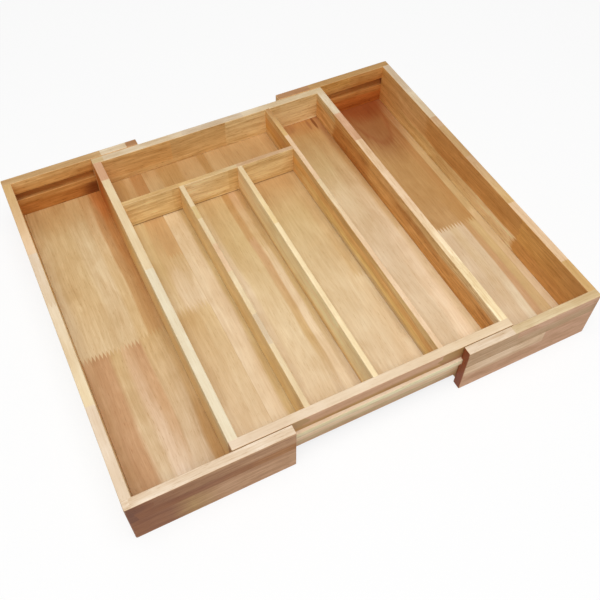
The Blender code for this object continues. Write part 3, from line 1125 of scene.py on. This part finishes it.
LEFT_WING = (
    wood(
        "left_wing_floor", Lay.FLAT, -214,
        lamella(-239, (-25, FAWN), (60, SAND), (214, SAND, STRAW), soft=3),
        lamella(-220, (-25, HAZEL), (50, SAND, WHEAT), (214, WHEAT, OAT), soft=4),
        lamella(-205, (-25, LINEN, ALMOND), (50, SAND, WHEAT), (214, WHEAT, OAT), soft=5),
        lamella(-194, (-25, IVORY, FAWN), (50, SAND), (214, SAND, OAT), soft=4),
        lamella(
            -183, (-110, SHELL, FAWN), (-25, FAWN, HAZEL), (60, SAND), (214, SAND, OAT), soft=2,
        ),
        # Painted shade beside the centre tray's left wall: these last lamellas darken towards the
        # back
        lamella(-172, (-20, SHELL, ALMOND), (110, WHEAT), (214, WHEAT, OCHRE), soft=1.5),
        lamella(-163, (-20, SHELL, ALMOND), (214, OCHRE, CINNAMON), soft=3),
        lamella(-140, (-20, OCHRE, ALMOND), (214, OCHRE, RUST)),
        lamella(-90, (40, WHEAT), (214, ALMOND)),
        blushes=(
            Blush(-210, 226, 70, 78, TOFFEE, 0.6),
            # The two blushes at x -158 are painted shade beside the centre tray's left wall
            Blush(-158, 222, 14, 80, CHESTNUT, 0.6),
            Blush(-158, -170, 9, 70, TOFFEE, 0.4),
        ),
        figure=0.8, face=13.5, seed=16,
    ),
    wood(
        "left_wing_side_wall", Lay.ALONG_Y, -211,
        lamella(34, (-80, CREAM, GOLD), (80, GOLD), (160, GOLD, HONEY), (211, HONEY)),
        lamella(66, (20, CREAM), (80, GOLD), (190, GOLD, HONEY), (211, RUST)),
        rim=staves((-110, IVORY), (95, CREAM, IVORY), (211, PEACH, HUSK)),
        seed=17,
    ),
    wood(
        "left_wing_front_board", Lay.ALONG_X, -258.5,
        lamella(
            36, (-252, SIENNA), (-222, SIENNA, BARK), (-200, BARK, TOFFEE), (-170, TOFFEE, BISCUIT),
            (-94.5, BISCUIT),
        ),
        lamella(
            48, (-250, UMBER), (-215, SIENNA), (-185, SIENNA, BARK), (-94.5, BARK, COCOA), soft=3,
        ),
        lamella(
            66, (-252, UMBER), (-235, UMBER, SIENNA), (-190, BARK, CLAY), (-94.5, CLAY, BISCUIT),
        ),
        rim=staves((-94.5, IVORY)),
        wander=14, figure=1.8, seed=18,
    ),
    wood(
        # Painted shade: the dark band from 40 to 44 mm lies in the groove under its upper lip, and
        # the lowest band darkens towards the centre tray
        "left_wing_back_board", Lay.ALONG_X, -258.5,
        lamella(31, (-180, RUST), (-160, RUST, SIENNA), (-94.5, SIENNA), soft=2),
        lamella(40, (-94.5, HONEY), soft=2),
        lamella(44, (-94.5, RUST), soft=2),
        lamella(57, (-175, HONEY), (-94.5, HONEY, RUST), soft=3),
        lamella(66, (-94.5, AMBER)),
        rim=staves((-140, OCHRE), (-108, LINEN), (-94.5, CLAY)),
        wander=30, figure=1.8, seed=19,
    ),
)

RIGHT_WING = (
    wood(
        "right_wing_floor", Lay.FLAT, -214,
        lamella(140, (30, ALMOND), (214, WHEAT)),
        lamella(181, (-70, WHEAT), (214, ALMOND)),
        lamella(199, (-35, LINEN), (20, OCHRE, TOFFEE), (214, TOFFEE), soft=3),
        lamella(210, (-35, LINEN, SAND), (20, OCHRE, TOFFEE), (214, TOFFEE), soft=3),
        lamella(219.5, (-35, CHALK, LINEN), (20, OCHRE, TOFFEE), (214, TOFFEE), soft=1.5),
        lamella(228, (-130, FAWN), (-35, FAWN, OCHRE), (214, TOFFEE), soft=2.5),
        lamella(238.5, (-120, WHEAT, OAT), (-35, OAT), (214, TOFFEE, CINNAMON)),
        lamella(260, (-20, LINEN, WHEAT), (214, OAT, OCHRE)),
        # These blushes are partly heartwood and partly painted shade in the back corner
        blushes=(
            Blush(214, 230, 60, 150, SIENNA, 0.75),
            Blush(213, 226, 27, 104, SIENNA, 0.3, outline=0.35),
            Blush(215, 228, 50, 62, MAHOGANY, 0.8),
        ),
        figure=0.6, face=13.5, seed=20,
    ),
    wood(
        # Painted light: the inner face, which stands in shade, takes pale, bright tones
        "right_wing_side_wall", Lay.ALONG_Y, -211,
        lamella(
            33, (-98, HONEY), (-90, HONEY, PALE), (20, PALE, APRICOT), (110, APRICOT, MAIZE),
            (211, MAIZE, COPPER), soft=1.5,
        ),
        lamella(
            66, (-98, HONEY, COPPER), (92, HONEY), (104, HONEY, AMBER), (150, AMBER),
            (211, AMBER, COPPER),
        ),
        rim=staves(
            (-165, HUSK), (-70, PEACH), (15, HUSK, FAWN), (75, OCHRE), (95, FAWN), (150, LINEN),
            (211, SHELL),
        ),
        wander=36, figure=1.4, seed=21,
    ),
    wood(
        "right_wing_front_board", Lay.ALONG_X, 94.5,
        lamella(24, (190, ROSE), (258.5, ROSE), soft=4),
        lamella(41, (190, PEACH), (258.5, ROSE)),
        lamella(54, (245, FAWN), (258.5, FAWN, CLAY), soft=4),
        lamella(66, (150, FAWN), (245, ROSE), (258.5, ROSE, CLAY)),
        rim=staves((150, IVORY), (258.5, SAND, WHEAT)),
        # The end face is partly end grain and partly painted shade, so it is nearly all MAHOGANY
        figure=1.5, end_tone=MAHOGANY, end_share=0.95, seed=22,
    ),
    wood(
        # Painted shade: darker towards the foot and towards the corner at the side wall
        "right_wing_back_board", Lay.ALONG_X, 94.5,
        lamella(31, (258.5, CHESTNUT), soft=2),
        lamella(41, (258.5, RUST), soft=3),
        lamella(54, (190, HONEY), (210, HONEY, RUST), (258.5, RUST), soft=3),
        lamella(66, (200, COPPER), (258.5, HONEY)),
        rim=staves((140, CLAY), (258.5, TOFFEE)),
        wander=30, figure=1.8, seed=23,
    ),
)

WOODS = {
    each.node: each
    for each in (*WALLS_AND_DIVIDERS, *RAILS_AND_BATTENS, *CENTER_FLOOR, *LEFT_WING, *RIGHT_WING)
}


@dataclass(frozen=True)
class CenterTray:
    """The centre tray, with its dividers and the rails that the wings run on."""

    stock: Stock
    rule: BoardRule
    floor_z: Span = (0.024, 0.029)
    long_divider_x: Span = (0.0705, 0.0765)
    cross_divider_y: Span = (0.120, 0.126)
    short_dividers: tuple[Span, Span] = ((-0.0765, -0.0705), (-0.003, 0.003))
    rail_y: Span = (0.2078, 0.2129)
    body: str = "center_tray"

    def build(self) -> None:
        """Make every board of the centre tray."""
        self._walls()
        self._floor()
        self._rails()
        self._dividers()

    def _add(self, node: str, slot: str, x: Span, y: Span, z: Span, **more: Any) -> None:
        """Make one board."""
        self.rule.make(Board(node, self.body, slot, x, y, z, **more))

    def _walls(self) -> None:
        """The four walls."""
        s = self.stock
        z = (s.center_foot, s.rim)
        half = s.center_half_length
        for end in End:
            y = (end.value * s.inner_y, end.value * s.center_y)
            self._add(f"center_{end.name.lower()}_wall", "wall_wood", (-half, half), y, z)
        reach = s.inner_y + s.joint
        for side in Side:
            x = (side.value * s.inner_x, side.value * half)
            self._add(f"center_{side.name.lower()}_wall", "wall_wood", x, (-reach, reach), z)

    def _floor(self) -> None:
        """The floor between the walls."""
        s = self.stock
        x = (-s.inner_x, s.inner_x)
        y = (-s.inner_y, s.inner_y)
        self._add("center_floor", "floor_wood", x, y, self.floor_z, radii=s.inset_radii)

    def _rails(self) -> None:
        """The two rails outside the front and the back wall."""
        s = self.stock
        x = (-s.center_half_length, s.center_half_length)
        for end in End:
            node = f"{end.name.lower()}_slide_rail"
            y = (end.value * self.rail_y[0], end.value * self.rail_y[1])
            self._add(node, "rail_wood", x, y, s.rail, radii=s.inset_radii)

    def _dividers(self) -> None:
        """The long, the cross and the short dividers."""
        s = self.stock
        z = (self.floor_z[1], s.rim)
        front = -s.inner_y - s.joint
        dividers: dict[str, tuple[Span, Span]] = {
            "long_divider": (self.long_divider_x, (front, s.inner_y + s.joint)),
            "cross_divider": (
                (-s.inner_x - s.joint, self.long_divider_x[0] + s.joint),
                self.cross_divider_y,
            ),
        }
        for side, x in zip(Side, self.short_dividers):
            y = (front, self.cross_divider_y[0] + s.joint)
            dividers[f"short_divider_{side.name.lower()}"] = (x, y)
        for node, (x, y) in dividers.items():
            self._add(node, "divider_wood", x, y, z, radii=s.divider_radii)


@dataclass(frozen=True)
class Wing:
    """One U-shaped wing, with the grooves that its boards run on and its stop batten."""

    side: Side
    stock: Stock
    rule: BoardRule
    end_x: float = 0.0945
    outer_x: float = 0.2585
    floor_z: Span = (0.0085, 0.0135)
    groove_z: Span = (0.0380, 0.0475)
    groove_root: float = 0.2134
    batten_x: Span = (0.1335, 0.1435)
    batten_z: Span = (0.0134, 0.0235)
    corner_radius: float = 0.0015

    @property
    def body(self) -> str:
        """The body that the wing is."""
        return f"{self.side.name.lower()}_wing"

    @property
    def inner_x(self) -> float:
        """The inside of the side wall."""
        return self.outer_x - self.stock.wall

    def build(self) -> None:
        """Make every board of the wing."""
        self._boards()
        self._side_wall()
        self._floor()
        self._batten()

    def _add(self, part: str, slot: str, x: Span, y: Span, z: Span, **more: Any) -> None:
        """Make one board, its X counted outwards."""
        board = Board(f"{self.body}_{part}", self.body, slot, self._mirrored(x), y, z, **more)
        self.rule.make(board)

    def _mirrored(self, x: Span) -> Span:
        """A span along X, counted outwards, on this wing's side of the tray."""
        return self.side.value * x[0], self.side.value * x[1]

    def _boards(self) -> None:
        """The grooved front and back boards."""
        s = self.stock
        x = (self.end_x, self.outer_x)
        groove_x = self._mirrored((self.end_x - BoardRule.OVERRUN, self.inner_x))
        for end in End:
            groove_y = (end.value * s.board_y, end.value * self.groove_root)
            self._add(
                f"{end.name.lower()}_board",
                "wing_board_wood",
                x,
                (end.value * s.board_y, end.value * s.outer_y),
                (0.0, s.rim),
                groove=Groove(groove_x, groove_y, self.groove_z),
                corner_radius=self.corner_radius,
                round_corner=(self.side.value, end.value),
            )

    def _side_wall(self) -> None:
        """The wall at the outer end."""
        s = self.stock
        reach = s.board_y + s.joint
        x = (self.inner_x, self.outer_x)
        self._add("side_wall", "wing_side_wood", x, (-reach, reach), (0.0, s.rim))

    def _floor(self) -> None:
        """The floor, which runs on under the centre tray."""
        s = self.stock
        x = (self.end_x, self.inner_x)
        y = (-s.board_y, s.board_y)
        self._add("floor", "wing_floor_wood", x, y, self.floor_z, radii=s.inset_radii)

    def _batten(self) -> None:
        """The batten that stops the wing, let a little into its floor."""
        s = self.stock
        reach = s.inner_y - s.clearance
        y = (-reach, reach)
        radii = s.batten_radii
        self._add("stop_batten", "batten_wood", self.batten_x, y, self.batten_z, radii=radii)


@dataclass(frozen=True)
class Softbox:
    """A soft lamp that faces the tray."""

    name: str
    place: Triple
    width: float
    depth: float
    power: float

    def build(self) -> None:
        """Hang the lamp and turn it to the tray."""
        data = bpy.data.lights.new(self.name, "AREA")
        data.shape = "RECTANGLE"
        data.size = self.width
        data.size_y = self.depth
        data.energy = self.power
        lamp = bpy.data.objects.new(self.name, data)
        lamp.location = self.place
        lamp.rotation_euler = Vector(self.place).to_track_quat("Z", "Y").to_euler()
        bpy.context.scene.collection.objects.link(lamp)


@dataclass(frozen=True)
class Studio:
    """The camera, the lamp, the world and the floor."""

    lens: float = 45.05
    sensor: float = 36.0
    near: float = 0.01
    eye: Triple = (-0.23452, -0.49400, 0.68457)
    right: Triple = (0.89350, -0.44899, 0.00804)
    down: Triple = (-0.35654, -0.72018, -0.59516)
    forward: Triple = (0.27302, 0.52891, -0.80356)
    sky_strength: float = 0.28
    key: Softbox = Softbox("key", (-0.2, -0.5, 1.9), 1.6, 1.6, 31.0)
    floor_size: float = 12.0
    floor_colour: Colour = (0.70, 0.69, 0.68, 1.0)
    floor_roughness: float = 0.9
    shadow_share: float = 0.2

    def build(self) -> None:
        """Make everything around the tray."""
        self._camera()
        self._world()
        self.key.build()
        self._floor()

    def _camera(self) -> None:
        """The camera, where the photograph was taken from."""
        data = bpy.data.cameras.new("camera")
        data.lens = self.lens
        data.sensor_width = self.sensor
        data.clip_start = self.near
        camera = bpy.data.objects.new("camera", data)
        up = -Vector(self.down)
        back = -Vector(self.forward)
        turn = Matrix((Vector(self.right), up, back)).transposed().to_quaternion()
        camera.matrix_world = Matrix.Translation(self.eye) @ turn.to_matrix().to_4x4()
        bpy.context.scene.collection.objects.link(camera)
        bpy.context.scene.camera = camera

    def _world(self) -> None:
        """A pale sky that the camera sees as white."""
        world = bpy.data.worlds.new("studio")
        bpy.context.scene.world = world
        world.use_nodes = True
        graph = Graph(world.node_tree)
        seen = self._seen(graph)
        strength = seen + (1.0 - seen) * self.sky_strength
        backdrop = world.node_tree.nodes["Background"]
        backdrop.inputs["Color"].default_value = WHITE
        graph.feed(backdrop.inputs["Strength"], strength)

    @staticmethod
    def _seen(graph: Graph) -> Value:
        """One for rays that show the backdrop, and zero for rays that carry light.

        Args:
            graph: The graph to add to.

        Returns:
            The mask.
        """
        paths = graph.add("ShaderNodeLightPath", output="Is Camera Ray")
        gloss = paths.output("Is Glossy Ray")
        return paths.most(gloss).most(paths.output("Is Transmission Ray"))

    def _floor(self) -> None:
        """The plain floor, white to the camera apart from the tray's shadow."""
        half = self.floor_size / 2
        outline = [(-half, -half, 0.0), (half, -half, 0.0), (half, half, 0.0), (-half, half, 0.0)]
        mesh = bpy.data.meshes.new("floor")
        mesh.from_pydata(outline, [], [(0, 1, 2, 3)])
        material = bpy.data.materials.new("floor_paper")
        material.use_nodes = True
        graph = Graph(material.node_tree)
        shader = material.node_tree.nodes["Principled BSDF"]
        shader.inputs["Base Color"].default_value = self.floor_colour
        shader.inputs["Roughness"].default_value = self.floor_roughness
        glow = graph.add("ShaderNodeEmission", inputs={"Color": WHITE, "Strength": 1.0})
        paper = graph.add("ShaderNodeBsdfDiffuse", inputs={"Color": WHITE})
        mixed = {0: self.shadow_share, 1: glow, 2: paper}
        backdrop = graph.add("ShaderNodeMixShader", inputs=mixed)
        surface = graph.add("ShaderNodeMixShader", inputs={0: self._seen(graph), 2: backdrop})
        graph.tree.links.new(shader.outputs[0], surface.socket.node.inputs[1])
        outlet = material.node_tree.nodes["Material Output"]
        graph.feed(outlet.inputs["Surface"], surface)
        mesh.materials.append(material)
        ground = bpy.data.objects.new("floor", mesh)
        bpy.context.scene.collection.objects.link(ground)


def main() -> None:
    """Build the tray and the studio in order."""
    logging.basicConfig(level=logging.INFO, format="%(name)s: %(message)s")
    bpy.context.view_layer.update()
    stock = Stock()
    rule = BoardRule()
    CenterTray(stock, rule).build()
    for side in Side:
        Wing(side, stock, rule).build()
    Studio().build()
    bpy.context.scene.view_settings.view_transform = "Standard"


if __name__ == "__main__":
    main()
